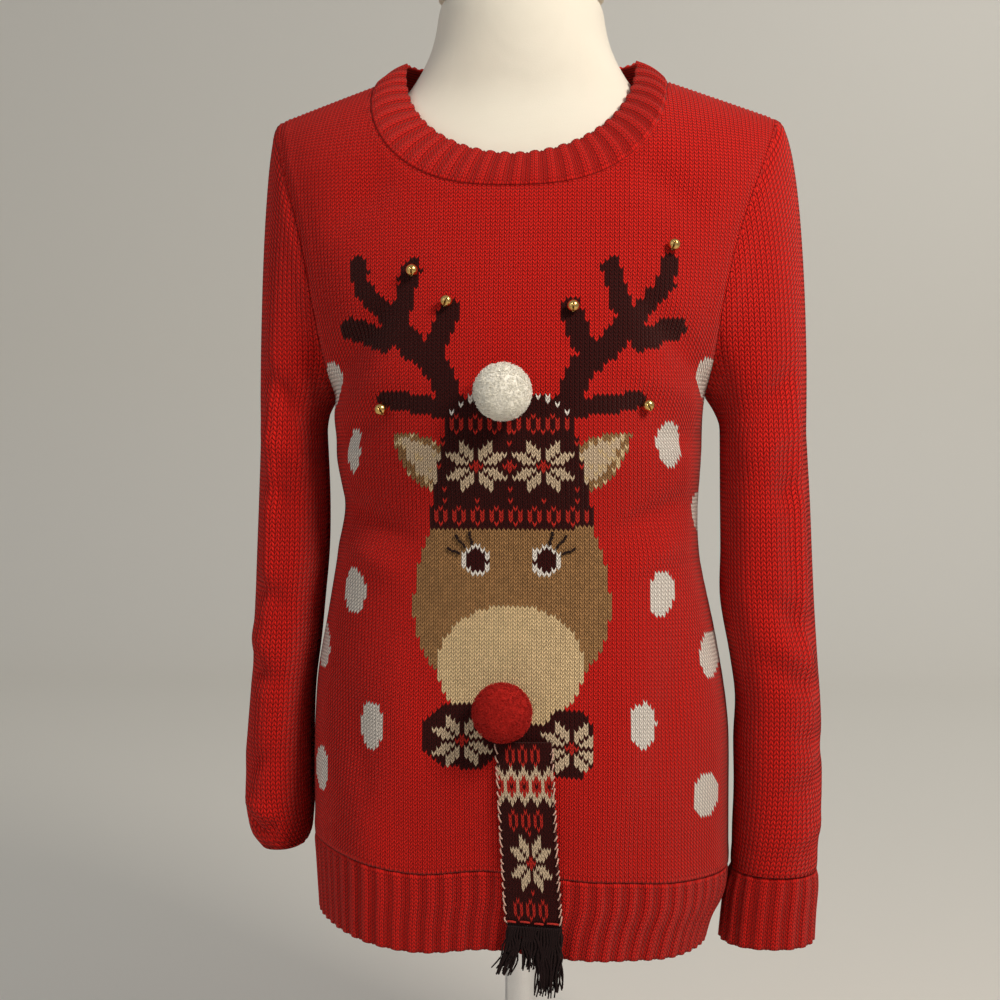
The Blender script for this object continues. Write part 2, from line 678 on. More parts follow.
def paintFront(x, z, wale, row):
    # one colour for every stitch of the front
    colours = oneColour(x.shape, yarns["red"])
    side = np.abs(x)
    speck = fleck(wale, row)
    for middle, height, half in motif["dots"]:
        colours[oval(x, z, middle, height, half, motif["dotTall"]) < 1] = yarns["white"]
    # ears: a leaf with a dark border and a flecked middle
    foot, tip, half = motif["ears"]
    dx = tip[0] - foot[0]
    dz = tip[1] - foot[1]
    length = math.hypot(dx, dz)
    along = ((side - foot[0]) * dx + (z - foot[1]) * dz) / length ** 2
    across = ((side - foot[0]) * dz - (z - foot[1]) * dx) / length
    leaf = half * np.sin(np.clip(along * 0.72 + 0.28, 0, 1) * math.pi) ** 0.85
    ear = (np.abs(across) < leaf) & (along > -0.3) & (along < 1)
    colours[ear] = yarns["fawn"]
    colours[ear & (speck > motif["flecks"][0])] = yarns["sand"]
    heart = ear & (np.abs(across + 1.0) < leaf - motif["earBorder"]) & (along < 0.86)
    colours[heart] = yarns["cream"]
    colours[heart & (speck < motif["flecks"][1])] = yarns["sand"]
    # face and muzzle
    height, half, above, below = motif["face"]
    rise = np.where(z > height, (z - height) / above, (z - height) / below)
    face = (side < half * np.sqrt(np.clip(1 - rise ** 2, 0, 1))) & (z < motif["hatFoot"][0] + 3)
    # two strands twisted together, one lighter
    marl = np.array(yarns["fawn"]) * (0.92 + 0.28 * speck[..., None])
    colours = np.where(face[..., None], marl, colours)
    height, half, tall = motif["muzzle"]
    muzzle = oval(x, z, 0, height, half, tall) < 1
    marl = np.array(yarns["sand"]) * (0.94 + 0.16 * speck[..., None])
    colours = np.where(muzzle[..., None], marl, colours)
    # antlers
    for start, end, half in motif["antlers"]:
        near = capsule(side, z, start, end)
        edge = half + 0.8 * np.sin(row * 1.9 + wale * 0.6)
        colours[near < edge] = yarns["dark"]
    # hat
    footZ, footHalf = motif["hatFoot"]
    topZ, topHalf = motif["hatTop"]
    reach = footHalf + (topHalf - footHalf) * (z - footZ) / (topZ - footZ)
    crown = topZ - motif["hatRound"] * (side / topHalf) ** 4
    hat = (z > footZ) & (z < crown) & (side < reach)
    colours[hat] = yarns["dark"]
    rim = hat & (z > crown - motif["hatTrim"]) & (side > 12) & (np.mod(wale, 2) == 0)
    colours[rim] = yarns["white"]
    middleColumn = np.argmin(np.abs(x[:, 0]))
    heights = z[middleColumn]
    starWale, starZ = motif["starPlace"]
    starRow = int(np.argmin(np.abs(heights - starZ)))

    def knitStar(within, starAt, height):
        colours[within & chartAt(star, wale - starAt, row - height)] = yarns["cream"]
        knitCross(within, starAt, height)

    def knitCross(within, crossAt, height):
        colours[within & (np.abs(wale - crossAt) + np.abs(row - height) < 2)] = yarns["band"]

    for sign in (-1, 1):
        knitStar(hat, sign * starWale, starRow)
    knitCross(hat, 0, starRow)
    lone = (np.abs(row - starRow) == 9) & (np.mod(wale, 7) == 0)
    lone |= (np.abs(row - starRow) == 6) & (np.mod(wale, 14) == 0)
    lone |= (row == starRow) & (np.abs(wale) == 15)
    colours[hat & lone] = yarns["band"]
    for bandZ in motif["bandHeights"]:
        bandRow = int(np.argmin(np.abs(heights - bandZ)))
        line = row - bandRow + 2
        cells = np.array([[cell == "X" for cell in text] for text in flower[::-1]])
        within = hat & (line >= 0) & (line < 5) & (side < reach - 3)
        colours[within & cells[np.clip(line, 0, 4), np.mod(wale, 4)]] = yarns["band"]
    # eyes
    eyeX, eyeZ, half, tall, rimHalf, rimTall = motif["eye"]
    colours[oval(side, z, eyeX, eyeZ, rimHalf, rimTall) < 1] = yarns["white"]
    colours[oval(side, z, eyeX, eyeZ, half, tall) < 1] = yarns["dark"]
    # the scarf's knot
    knotX, knotZ, half, tall = motif["knot"]
    colours[(np.abs(x - knotX) < half) & (np.abs(z - knotZ) < tall)] = yarns["dark"]
    for lobeX, lobeZ, half, tall in motif["lobes"]:
        lobe = ((x - lobeX) / half) ** 4 + ((z - lobeZ) / tall) ** 4 < 1
        lobe &= np.abs(x - lobeX) / half + np.abs(z - lobeZ) / tall < 1.5
        colours[lobe] = yarns["dark"]
        lobeWale = int(round((lobeX + (4 if lobeX > 0 else -1)) / 3.5))
        lobeRow = int(np.argmin(np.abs(heights - lobeZ + 1)))
        knitStar(lobe, lobeWale, lobeRow)
    return colours


def paintPlain(x, z, wale, row):
    return oneColour(x.shape, yarns["red"])


# materials
def newNode(tree, kind, inputs=None, **settings):
    node = tree.nodes.new(kind)
    for name, value in settings.items():
        setattr(node, name, value)
    for name, value in (inputs or {}).items():
        if isinstance(value, bpy.types.NodeSocket):
            tree.links.new(value, node.inputs[name])
        else:
            node.inputs[name].default_value = value
    return node


def maths(tree, operation, first, second=None):
    node = tree.nodes.new("ShaderNodeMath")
    node.operation = operation
    for socket, value in zip(node.inputs, (first, second)):
        if isinstance(value, bpy.types.NodeSocket):
            tree.links.new(value, socket)
        elif value is not None:
            socket.default_value = value
    return node.outputs[0]


def times(tree, first, second):
    return maths(tree, "MULTIPLY", first, second)


def plus(tree, first, second):
    return maths(tree, "ADD", first, second)


def minus(tree, first, second):
    return maths(tree, "SUBTRACT", first, second)


def softStep(tree, value, low, high):
    node = newNode(tree, "ShaderNodeMapRange", {"Value": value, "From Min": low, "From Max": high},
                   interpolation_type="SMOOTHSTEP")
    return node.outputs["Result"]


def addNoise(tree, scale, detail, softness=0.5):
    place = newNode(tree, "ShaderNodeTexCoord")
    return newNode(tree, "ShaderNodeTexNoise", {"Vector": place.outputs["Object"], "Scale": scale,
                                                "Detail": detail, "Roughness": softness}).outputs["Fac"]


def mixTones(tree, factor, dark, light):
    node = newNode(tree, "ShaderNodeMix", {"Factor": factor}, data_type="RGBA")
    node.inputs["A"].default_value = (*dark, 1)
    node.inputs["B"].default_value = (*light, 1)
    return node.outputs["Result"]


def makeStitchGroup():
    # height and shade of stocking stitch from stitch coordinates: u in wales, v in rows
    tree = bpy.data.node_groups.new("stitchShape", "ShaderNodeTree")
    tree.interface.new_socket("Stitch", in_out="INPUT", socket_type="NodeSocketVector")
    tree.interface.new_socket("Height", in_out="OUTPUT", socket_type="NodeSocketFloat")
    tree.interface.new_socket("Shade", in_out="OUTPUT", socket_type="NodeSocketFloat")
    entry = newNode(tree, "NodeGroupInput")
    finish = newNode(tree, "NodeGroupOutput")
    split = newNode(tree, "ShaderNodeSeparateXYZ", {"Vector": entry.outputs[0]})
    u = split.outputs["X"]
    v = split.outputs["Y"]
    # 0 on a stitch's middle line, 1 on the groove between two wales
    aside = maths(tree, "FRACT", plus(tree, u, 0.5))
    aside = times(tree, maths(tree, "ABSOLUTE", minus(tree, aside, 0.5)), 2.0)
    across = maths(tree, "SINE", times(tree, maths(tree, "FRACT", v), math.pi))
    across = maths(tree, "POWER", across, 0.6)
    middle = softStep(tree, aside, 0.0, 0.26)
    outside = softStep(tree, aside, 1.0, 0.72)
    ends = times(tree, plus(tree, times(tree, middle, 0.45), 0.55),
                 plus(tree, times(tree, outside, 0.75), 0.25))
    height = times(tree, across, ends)
    # the yarn's own twist
    lean = plus(tree, times(tree, aside, 5.0), times(tree, v, 2.0))
    twist = maths(tree, "SINE", times(tree, lean, math.pi))
    height = plus(tree, height, times(tree, times(tree, twist, 0.07),
                                               height))
    shade = softStep(tree, height, 0.08, 0.92)
    tree.links.new(height, finish.inputs["Height"])
    tree.links.new(shade, finish.inputs["Shade"])
    return tree


stitchGroup = makeStitchGroup()


def principled(name):
    material = bpy.data.materials.new(name)
    material.use_nodes = True
    return material, material.node_tree, material.node_tree.nodes["Principled BSDF"]


def clothFinish(shader, roughness, sheen, specular, soft=0.5, tint=(1.0, 1.0, 1.0)):
    shader.inputs["Roughness"].default_value = roughness
    shader.inputs["Sheen Weight"].default_value = sheen
    shader.inputs["Sheen Roughness"].default_value = soft
    shader.inputs["Sheen Tint"].default_value = (*tint, 1.0)
    shader.inputs["Specular IOR Level"].default_value = specular


yarnLook = {
    "grooveShade": 0.13,
    "relief": 0.0013,
    "uneven": 0.10,
    "roughness": 0.90,
    "sheen": 0.11,
    "sheenTint": (1.0, 0.56, 0.48),
    "specular": 0.12,
    "lift": 0.42,            # how much paler a light yarn's grooves are
}


def makeKnitMaterial(name, look):
    material, tree, shader = principled(name)
    marks = newNode(tree, "ShaderNodeUVMap", uv_map="stitch")
    shape = newNode(tree, "ShaderNodeGroup", node_tree=stitchGroup)
    tree.links.new(marks.outputs[0], shape.inputs[0])
    yarn = newNode(tree, "ShaderNodeAttribute", attribute_name="yarn")
    broad = addNoise(tree, 38.0, 3.0)
    fine = addNoise(tree, 1600.0, 2.0)
    shade = newNode(tree, "ShaderNodeMapRange",
                    {"Value": shape.outputs["Shade"], "To Min": look["grooveShade"], "To Max": 1.0})
    tone = plus(tree, times(tree, broad, look["uneven"]), 1.0 - look["uneven"] / 2)
    grain = plus(tree, times(tree, fine, 0.5), 0.75)
    light = newNode(tree, "ShaderNodeVectorMath", operation="DOT_PRODUCT")
    tree.links.new(yarn.outputs["Color"], light.inputs[0])
    light.inputs[1].default_value = (look["lift"] / 3,) * 3
    dimmed = minus(tree, 1.0, shade.outputs["Result"])
    dimmed = times(tree, dimmed, minus(tree, 1.0, light.outputs["Value"]))
    dimmed = minus(tree, 1.0, dimmed)
    tone = times(tree, times(tree, tone, grain), dimmed)
    colour = newNode(tree, "ShaderNodeVectorMath", operation="SCALE")
    tree.links.new(yarn.outputs["Color"], colour.inputs[0])
    tree.links.new(tone, colour.inputs["Scale"])
    tree.links.new(colour.outputs[0], shader.inputs["Base Color"])
    height = plus(tree, shape.outputs["Height"], times(tree, fine, 0.35))
    bump = newNode(tree, "ShaderNodeBump", {"Height": height, "Distance": look["relief"], "Strength": 0.9})
    tree.links.new(bump.outputs[0], shader.inputs["Normal"])
    clothFinish(shader, look["roughness"], look["sheen"], look["specular"], 0.4, look["sheenTint"])
    return material


knitMaterial = makeKnitMaterial("knit_yarn", yarnLook)

print("knitting the front")
front = makePanel("knit_front", -1, frontCreases, paintFront, knitMaterial)
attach(front, "root")
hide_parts("sweater_front")

print("knitting the back")
back = makePanel("knit_back", 1, backCreases, paintPlain, knitMaterial)
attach(back, "root")
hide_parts("sweater_back")


# ribbing
ribbing = {
    "pitch": 0.0124,         # one broad rib, a groove, a thin rib and a groove
    "row": 0.0029,
    "calm": 0.004,           # the ribs are flat within this of their seam
    "pinch": 0.0002,
    "profile": (0.0009, 0.0011, 0.0009, 0.0004, -0.0010, -0.0001, -0.0010, 0.0004),
    "shade": (1.0, 1.0, 0.96, 0.76, 0.80, 0.80, 0.76, 0.96),
}


def makeRib(name, samples, outward, closed, thick, material):
    # ribbing on a table of samples: rows from its seam to its free edge, or the other way
    ribs = ribbing
    lengths, normals = surfaceTable(samples, 0, outward)
    share = lengths / lengths[:, -1:]
    around = lengths[:, -1].mean()
    count = 8 * int(round(around / ribs["pitch"])) + (0 if closed else 2)
    at = np.linspace(0, 1, count + 1)
    flat = resample(samples, share, at)
    out = unit(resample(normals, share, at))
    if closed:
        joined = unit(out[:, :1] + out[:, -1:])
        out[:, :1] = joined
        out[:, -1:] = joined
        flat[:, -1] = flat[:, 0]
    tall = np.linalg.norm(np.diff(samples, axis=0), axis=2).sum(axis=0).mean()
    levels = int(round(tall / ribs["row"]))
    step = (len(samples) - 1) / levels
    column = np.arange(count + 1)
    odd = (column % 2 == 1)[:, None]
    level = np.broadcast_to(np.arange(levels + 1) * step, (count + 1, levels + 1)).copy()
    level[:, 1:-1] += odd * stitch["slant"] * step * 0.9
    index = np.arange(len(samples), dtype=float)
    flatAt = readRows(flat, index, level)
    outAt = unit(readRows(out, index, level))
    phase = np.array(ribs["profile"])[column % 8]
    relief = np.broadcast_to(phase[:, None], level.shape).copy()
    fromSeam = level / (len(samples) - 1) * tall
    # flat where it is sewn on
    relief = relief * np.clip(fromSeam / ribs["calm"], 0.15, 1)
    relief = relief - ribs["pinch"] * np.exp(-(fromSeam / 0.003) ** 2)
    outer = flatAt + outAt * relief[..., None]
    pickColumns = everySo(count + 1, liningStep["rib"][0])
    pickLevels = everySo(levels + 1, liningStep["rib"][1])
    pick = np.ix_(pickColumns, pickLevels)
    inner = flatAt[pick] - outAt[pick] * thick
    colours = oneColour((count, levels), yarns["red"])
    colours *= np.array(ribs["shade"])[column[:-1] % 8][:, None, None]
    return shell(name, outer, inner, pickColumns, pickLevels, closed, colours, column, material,
                 outward < 0)


def hemSamples(face):
    rows = np.linspace(cloth["hem"], cloth["hem"] + cloth["hemRib"] - cloth["gap"] / 2, 22)[:, None]
    turn = np.linspace(-math.pi / 2, math.pi / 2, 201)[None, :]
    points = bodyPoint(face, turn + rows * 0, rows)
    points[..., 1] = face * np.maximum(np.abs(points[..., 1]), cloth["gap"] / 2)
    return points[::-1]


def neckwards(points):
    return unit(np.array((0, -0.01, 0.90)) - points) * cloth["gap"] / 2


def collarSamples():
    # from the neckline seam to the free edge, all the way round from the wearer's right
    rings = []
    for face in (-1, 1):
        angle = np.linspace(-math.pi / 2, math.pi / 2, 161) * -face
        part = np.abs(np.sin(angle))
        lowest = cloth["neckFront"] if face < 0 else cloth["neckBack"]
        height = neckSide - (neckSide - lowest) * (1 - part ** 2.6) ** (1 / 2.2)
        across = np.sign(np.sin(angle)) * cloth["neckHalf"] * part
        row = clothRow(across, height)
        turn = turnAt(across, row)
        seam = bodyPoint(face, turn, row)
        seam = seam + neckwards(seam)
        nearby = bodyPoint(face, turn, row - 0.002)
        aside = bodyPoint(face, turn + 0.004, row) - bodyPoint(face, turn - 0.004, row)
        normal = unit(np.cross(aside, bodyPoint(face, turn, row) - nearby))
        normal *= np.sign(normal[..., 1:2] * face + 1e-9)
        normal[[0, -1]] = unit(normal[[0, -1]] * np.array((1, 0, 1)))
        seam[[0, -1], 1] = 0
        free = np.stack([across * cloth["collarHalf"] / cloth["neckHalf"],
                         face * (0.0735 if face < 0 else 0.0610) * np.abs(np.cos(angle)) ** (2 / 2.3),
                         cloth["collarSide"] - (cloth["collarSide"] - (cloth["collarFront"] if face < 0
                          else cloth["collarBack"])) * np.abs(np.cos(angle)) ** (2 / 2.2)], -1)
        middle = (seam + free) / 2 + normal * 0.0025
        rings.append((seam[:-1], middle[:-1], free[:-1]))
    seam, middle, free = (np.concatenate([rings[0][i], rings[1][i], rings[0][i][:1]]) for i in range(3))
    t = np.linspace(0, 1, 12)[:, None, None]
    return seam * (1 - t) * (1 - 2 * t) + middle * 4 * t * (1 - t) + free * t * (2 * t - 1)


def ringPoints(table, side, angle, height):
    near = readTable(table, 1, height)
    far = readTable(table, 2, height)
    reach = np.where(np.sin(angle) > 0, readTable(table, 3, height), readTable(table, 4, height))
    across = (near + far) / 2 - (far - near) / 2 * signedPower(np.cos(angle), 0.9)
    depth = -reach * signedPower(np.sin(angle), 0.9)
    return np.stack(np.broadcast_arrays(side * across, depth, height), -1)


def cuffSamples(table, side, low, high):
    # from the top row down
    height = np.linspace(high, low, 20)[:, None]
    angle = np.linspace(0, 2 * math.pi, 241)[None, :]
    return ringPoints(table, side, angle + height * 0, height + angle * 0)


print("ribbing")
ribMaterial = makeKnitMaterial("rib_yarn", yarnLook)
ribPlaces = [
    ("rib_hem_front", hemSamples(-1), -1, False, "hem_rib_front"),
    ("rib_hem_back", hemSamples(1), 1, False, "hem_rib_back"),
    ("rib_neck", collarSamples(), 1, True, "neck_rib"),
    ("rib_cuff_left", cuffSamples(leftCuffTable, 1, 0.2035, 0.2592), -1, True, "cuff_left"),
    ("rib_cuff_right", cuffSamples(rightCuffTable, -1, 0.280, 0.326), 1, True, "cuff_right"),
]
for name, samples, outward, closed, node in ribPlaces:
    piece = makeRib(name, samples, outward, closed, cloth["rib"] - 0.0008, ribMaterial)
    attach(piece, "root")
    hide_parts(node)


# sleeves
def armholePoint(side, angle):
    # the armhole seam: 0 at the armpit, up the front, 180 degrees at the shoulder, down the back
    out = np.empty(angle.shape + (3,))
    top = 0.86
    for _ in range(12):
        across = bodyPoint(-1, side * edgeAngle(side, top), np.array(top))[0]
        top = float(shoulderRow(across))
    share = np.where(angle <= math.pi, angle / math.pi, 2 - angle / math.pi)
    row = cloth["armpit"] + (top - cloth["armpit"]) * share
    turn = side * edgeAngle(side, row)
    for face, here in ((-1, angle <= math.pi), (1, angle > math.pi)):
        point = bodyPoint(face, turn, row)
        along = unit(point - bodyPoint(face, turn - side * 0.02, row)) * cloth["gap"] / 2
        out[here] = (point + along)[here]
    out[..., 0] += side * cloth["gap"] * 0.5
    return out


def sleeveSamples(table, side, heights):
    # level sections of a sleeve, from the armhole's front round the outside to its back
    sweep = np.linspace(0, math.pi, 300)
    frontZ = armholePoint(side, sweep)[:, 2]
    backZ = armholePoint(side, 2 * math.pi - sweep)[:, 2]
    slit = 0.004
    rows = []
    for height in heights:
        first = max(float(np.interp(height, frontZ, sweep)), slit)
        last = 2 * math.pi - max(float(np.interp(height, backZ, sweep)), slit)
        angle = np.linspace(first, last, 121)
        if height <= table[0][0]:
            rows.append(ringPoints(table, side, angle, np.full(angle.shape, height)))
            continue
        start = armholePoint(side, angle)
        end = ringPoints(table, side, angle, np.full(angle.shape, table[0][0]))
        droop = np.radians(30 - 18 * (0.5 - 0.5 * np.cos(angle)))
        reach = np.linalg.norm(end - start, axis=1)[:, None]
        down = np.stack([side * np.cos(droop), droop * 0, -np.sin(droop)], -1)
        one = start + down * (0.085 if side > 0 else 0.045) * reach
        two = end + np.array((0, 0, 0.36)) * reach
        low = np.zeros(angle.shape)
        high = np.ones(angle.shape)
        for _ in range(32):
            t = ((low + high) / 2)[:, None]
            point = (start * (1 - t) ** 3 + one * 3 * t * (1 - t) ** 2 + two * 3 * t * t * (1 - t)
                     + end * t ** 3)
            above = point[:, 2] > height
            low = np.where(above, t[:, 0], low)
            high = np.where(above, high, t[:, 0])
        rows.append(point)
    return np.array(rows)


sleeveStitch = {
    "wale": 0.0043,          # the sleeves are a coarser knit, worked from the shoulder down
    "row": 0.0036,
    "slant": 0.85,
    "groove": 0.0011,
}
# soft creases on a sleeve: distance round from its outer line (front negative), height, as above
leftSleeveCreases = [
    (-0.040, 0.700, -0.036, 0.330, 0.0065, 0.0026),
    (-0.056, 0.680, -0.050, 0.420, 0.011, -0.0034),
    (-0.016, 0.620, -0.014, 0.380, 0.012, -0.0024),
    (-0.096, 0.604, -0.040, 0.648, 0.010, -0.0060),
    (-0.092, 0.575, -0.034, 0.606, 0.009, 0.0034),
    (-0.080, 0.545, -0.030, 0.566, 0.010, -0.0040),
    (-0.078, 0.478, -0.018, 0.440, 0.011, -0.0050),
    (-0.080, 0.446, -0.024, 0.420, 0.009, 0.0030),
    (-0.078, 0.424, -0.020, 0.398, 0.009, -0.0044),
    (-0.066, 0.372, 0.004, 0.352, 0.010, -0.0036),
    (-0.070, 0.318, -0.010, 0.336, 0.011, -0.0032),
    (-0.060, 0.284, -0.006, 0.300, 0.009, 0.0030),
    (0.086, 0.604, 0.034, 0.650, 0.010, -0.0060),
    (0.080, 0.560, 0.026, 0.592, 0.010, 0.0034),
    (0.078, 0.482, 0.018, 0.444, 0.011, -0.0052),
    (0.074, 0.424, 0.008, 0.402, 0.010, -0.0046),
    (0.070, 0.372, 0.016, 0.388, 0.010, 0.0030),
    (0.064, 0.330, 0.012, 0.318, 0.012, -0.0038),
]
rightSleeveCreases = [
    (-0.048, 0.690, -0.046, 0.420, 0.0065, 0.0026),
    (-0.062, 0.670, -0.058, 0.450, 0.010, -0.0036),
    (-0.022, 0.600, -0.020, 0.400, 0.012, -0.0022),
    (-0.090, 0.604, -0.036, 0.650, 0.010, -0.0060),
    (-0.084, 0.572, -0.030, 0.604, 0.009, 0.0034),
    (-0.080, 0.540, -0.030, 0.566, 0.010, -0.0038),
    (-0.076, 0.462, -0.020, 0.486, 0.011, -0.0050),
    (-0.074, 0.424, -0.016, 0.446, 0.010, 0.0030),
    (-0.072, 0.402, -0.014, 0.420, 0.009, -0.0044),
    (-0.070, 0.352, -0.016, 0.326, 0.010, -0.0044),
    (-0.026, 0.312, -0.064, 0.296, 0.0065, 0.0042),
    (-0.024, 0.300, -0.052, 0.278, 0.0042, -0.0075),
    (-0.046, 0.278, -0.060, 0.296, 0.0045, -0.0056),
    (-0.020, 0.288, -0.040, 0.270, 0.0050, 0.0030),
    (0.084, 0.604, 0.032, 0.650, 0.010, -0.0060),
    (0.078, 0.552, 0.028, 0.584, 0.010, 0.0034),
    (0.074, 0.472, 0.018, 0.494, 0.011, -0.0052),
    (0.072, 0.402, 0.012, 0.388, 0.010, -0.0046),
    (0.068, 0.362, 0.018, 0.372, 0.009, 0.0030),
    (0.062, 0.322, 0.018, 0.316, 0.010, -0.0040),
    (0.054, 0.284, 0.022, 0.300, 0.007, -0.0044),
]


def makeSleeve(name, side, table, creases, material):
    bottom = table[-1][0] + cloth["gap"] / 2
    top = float(armholePoint(side, np.array([math.pi]))[0, 2])
    heights = np.append(np.arange(bottom, top - 0.0005, 0.003), top)
    points = sleeveSamples(table, side, heights)
    lengths, normals = surfaceTable(points, 60, side)
    column, distance, place, lean = waleColumns(points, lengths, normals, sleeveStitch["wale"])
    count = int(math.ceil((top - bottom) / sleeveStitch["row"]))
    level = np.minimum(bottom + np.arange(count + 1) * sleeveStitch["row"], top)
    at = np.broadcast_to(level, (len(column), len(level)))
    last = np.interp(at, heights, lengths[:, -1])
    first = np.interp(at, heights, lengths[:, 0])
    inside = (distance < last - 1e-5) & (distance > first + 1e-5)
    odd = (column % 2 == 1)[:, None] & inside
    odd[:, [0, -1]] = False
    at = np.maximum(at - odd * sleeveStitch["slant"] * sleeveStitch["row"], bottom)
    flat = readRows(place, heights, at)
    out = unit(readRows(lean, heights, at))
    toEdge = np.minimum(last - distance, distance - first)
    toFoot = at - bottom
    puff = seamPuff(toEdge, toFoot, seam["sleeveSwell"])
    calm = 1 - np.exp(-(np.maximum(toEdge, 0) / seam["calmWide"]) ** 2)
    calm = calm * (1 - np.exp(-(toFoot / 0.015) ** 2))
    fold = calm * creaseDepth(creases, np.broadcast_to(distance, at.shape), at)
    relief = puff + fold - odd * sleeveStitch["groove"]
    outer = flat + out * relief[..., None]
    pickColumns, pickLevels, inner = liningUnder(flat, out, fold, toEdge, 0.0013)
    colours = oneColour((len(column) - 1, len(level) - 1), yarns["red"])
    return shell(name, outer, inner, pickColumns, pickLevels, False, colours, column, material, side < 0)


print("knitting the sleeves")
for name, side, table, creases, node in (
        ("knit_sleeve_left", 1, leftSleeveTable, leftSleeveCreases, "sleeve_left"),
        ("knit_sleeve_right", -1, rightSleeveTable, rightSleeveCreases, "sleeve_right")):
    piece = makeSleeve(name, side, table, creases, knitMaterial)
    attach(piece, "root")
    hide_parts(node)


# yarn laid as strands
def smoothPath(points, count):
    # evenly read points on a soft curve through a few given ones
    given = np.array(points, dtype=float)
    at = np.linspace(0, len(given) - 1, count)
    index = np.clip(np.floor(at).astype(int), 0, len(given) - 2)
    t = (at - index)[:, None]
    before = given[np.maximum(index - 1, 0)]
    after = given[np.minimum(index + 2, len(given) - 1)]
    low = given[index]
    high = given[index + 1]
    return 0.5 * (2 * low + (high - before) * t + (2 * before - 5 * low + 4 * high - after) * t * t
                  + (3 * low - before - 3 * high + after) * t ** 3)


def strandMesh(paths, radii, sides):
    # closed round strands: paths is [strand, point], radii one for each point or strand
    paths = np.asarray(paths, dtype=float)
    strands, count = paths.shape[:2]
    radii = np.broadcast_to(radii, (strands, count))
    along = unit(np.gradient(paths, axis=1))
    aside = np.cross(along, np.array((0.31, 0.17, 0.93)))
    weak = np.linalg.norm(aside, axis=2) < 0.2
    aside[weak] = np.cross(along[weak], np.array((1.0, 0.1, 0.0)))
    aside = unit(aside)
    across = np.cross(along, aside)
    angle = np.arange(sides) * 2 * math.pi / sides
    ring = (np.cos(angle)[None, None, :, None] * aside[:, :, None]
            + np.sin(angle)[None, None, :, None] * across[:, :, None])
    points = (paths[:, :, None] + ring * radii[:, :, None, None]).reshape(-1, 3)
    faces = []
    for s in range(strands):
        start = s * count * sides
        for i in range(count - 1):
            for k in range(sides):
                a = start + i * sides + k
                b = start + i * sides + (k + 1) % sides
                faces.append((a, b, b + sides, a + sides))
        faces.append(tuple(start + k for k in range(sides - 1, -1, -1)))
        last = start + (count - 1) * sides
        faces.append(tuple(last + k for k in range(sides)))
    return points, faces


def newMesh(name, points, faces, material):
    data = bpy.data.meshes.new(name)
    data.from_pydata(np.asarray(points).tolist(), [], [list(map(int, face)) for face in faces])
    data.validate()
    data.shade_smooth()
    data.materials.append(material)
    return addObject(name, data)


def makeYarnMaterial(name, colour, roughness=0.88, sheen=0.25, mottle=0.25, scale=900.0):
    # loose yarn or felt: mottled, matt and softly hairy
    material, tree, shader = principled(name)
    fine = addNoise(tree, scale, 3.0, 0.65)
    broad = addNoise(tree, scale / 9, 2.0)
    tone = plus(tree, times(tree, fine, mottle * 1.6),
                 times(tree, broad, mottle))
    tone = plus(tree, tone, 1.0 - mottle * 1.3)
    shade = newNode(tree, "ShaderNodeVectorMath", {"Scale": tone}, operation="SCALE")
    shade.inputs[0].default_value = colour
    tree.links.new(shade.outputs[0], shader.inputs["Base Color"])
    bump = newNode(tree, "ShaderNodeBump", {"Height": fine, "Distance": 0.0006, "Strength": 0.8})
    tree.links.new(bump.outputs[0], shader.inputs["Normal"])
    clothFinish(shader, roughness, sheen, 0.2, 0.45, [min(1.0, c * 1.5 + 0.15) for c in colour])
    return material


def frontAt(across, height):
    # points and normals of the front's outside at places across and heights
    across, height = np.broadcast_arrays(np.asarray(across, float), np.asarray(height, float))
    row = clothRow(across, height)
    for _ in range(8):
        turn = turnAt(across, row)
        row = row + height - bodyPoint(-1, turn, row)[..., 2]
    turn = turnAt(across, row)
    point = bodyPoint(-1, turn, row)
    aside = bodyPoint(-1, turn + 0.004, row) - bodyPoint(-1, turn - 0.004, row)
    upward = bodyPoint(-1, turn, row + 0.001) - bodyPoint(-1, turn, row - 0.001)
    return point, unit(np.cross(aside, upward))


# the scarf's hanging end
tail = {
    "middle": 0.0146,
    "lean": 0.0040,          # how far its foot is to the left of its middle
    "half": 0.0204,
    "top": 0.3765,
    "end": 0.2420,
    "lift": 0.0025,
    "wales": 18,
    "rows": 43,
    "edgeStitch": 0.0062,    # from one edge stitch to the next
}

zigzag = [".C..",
          "CCC.",
          "CRCC",
          "RRRC",
          "R.RC",
          "RRRC",
          "CRCC",
          "CCC.",
          ".C.."]
# what is knitted on the tail, from its top row down
tailBands = [("plain", 1), ("flower", 5), ("zigzag", 9), ("plain", 1), ("flower", 5), ("dot", 1),
             ("star", 13), ("dot", 1), ("plain", 1), ("flower", 5), ("plain", 1)]


def paintTail(wale, fromTop):
    # wale 0 to 17 from the wearer's right
    middle = tail["wales"] / 2
    start = 0
    for kind, count in tailBands:
        line = fromTop - start
        if 0 <= line < count:
            if kind == "flower" and 3 <= wale < 15 and flower[line][(wale - 3) % 4] == "X":
                return yarns["band"]
            if kind == "dot" and wale == 9:
                return yarns["band"]
            if kind == "zigzag":
                cell = zigzag[line][(wale + 1) % 4]
                return yarns["cream"] if cell == "C" else yarns["band"] if cell == "R" else yarns["dark"]
            if kind == "star":
                across = int(wale - middle)
                if -6 <= across <= 6:
                    cell = star[line][across + 6]
                    if abs(across) + abs(line - 6) < 2:
                        return yarns["band"]
                    if cell == "X":
                        return yarns["cream"]
        start += count
    return yarns["dark"]


def tailMiddle(height):
    part = (height - tail["end"]) / (tail["top"] - tail["end"])
    return tail["middle"] + tail["lean"] * (1 - 2 * part)


def tailPoint(across, height, out):
    point, normal = frontAt(tailMiddle(height) + tail["half"] * across, height)
    return point + normal * (tail["lift"] + cloth["knit"] + np.asarray(out, float))[..., None]


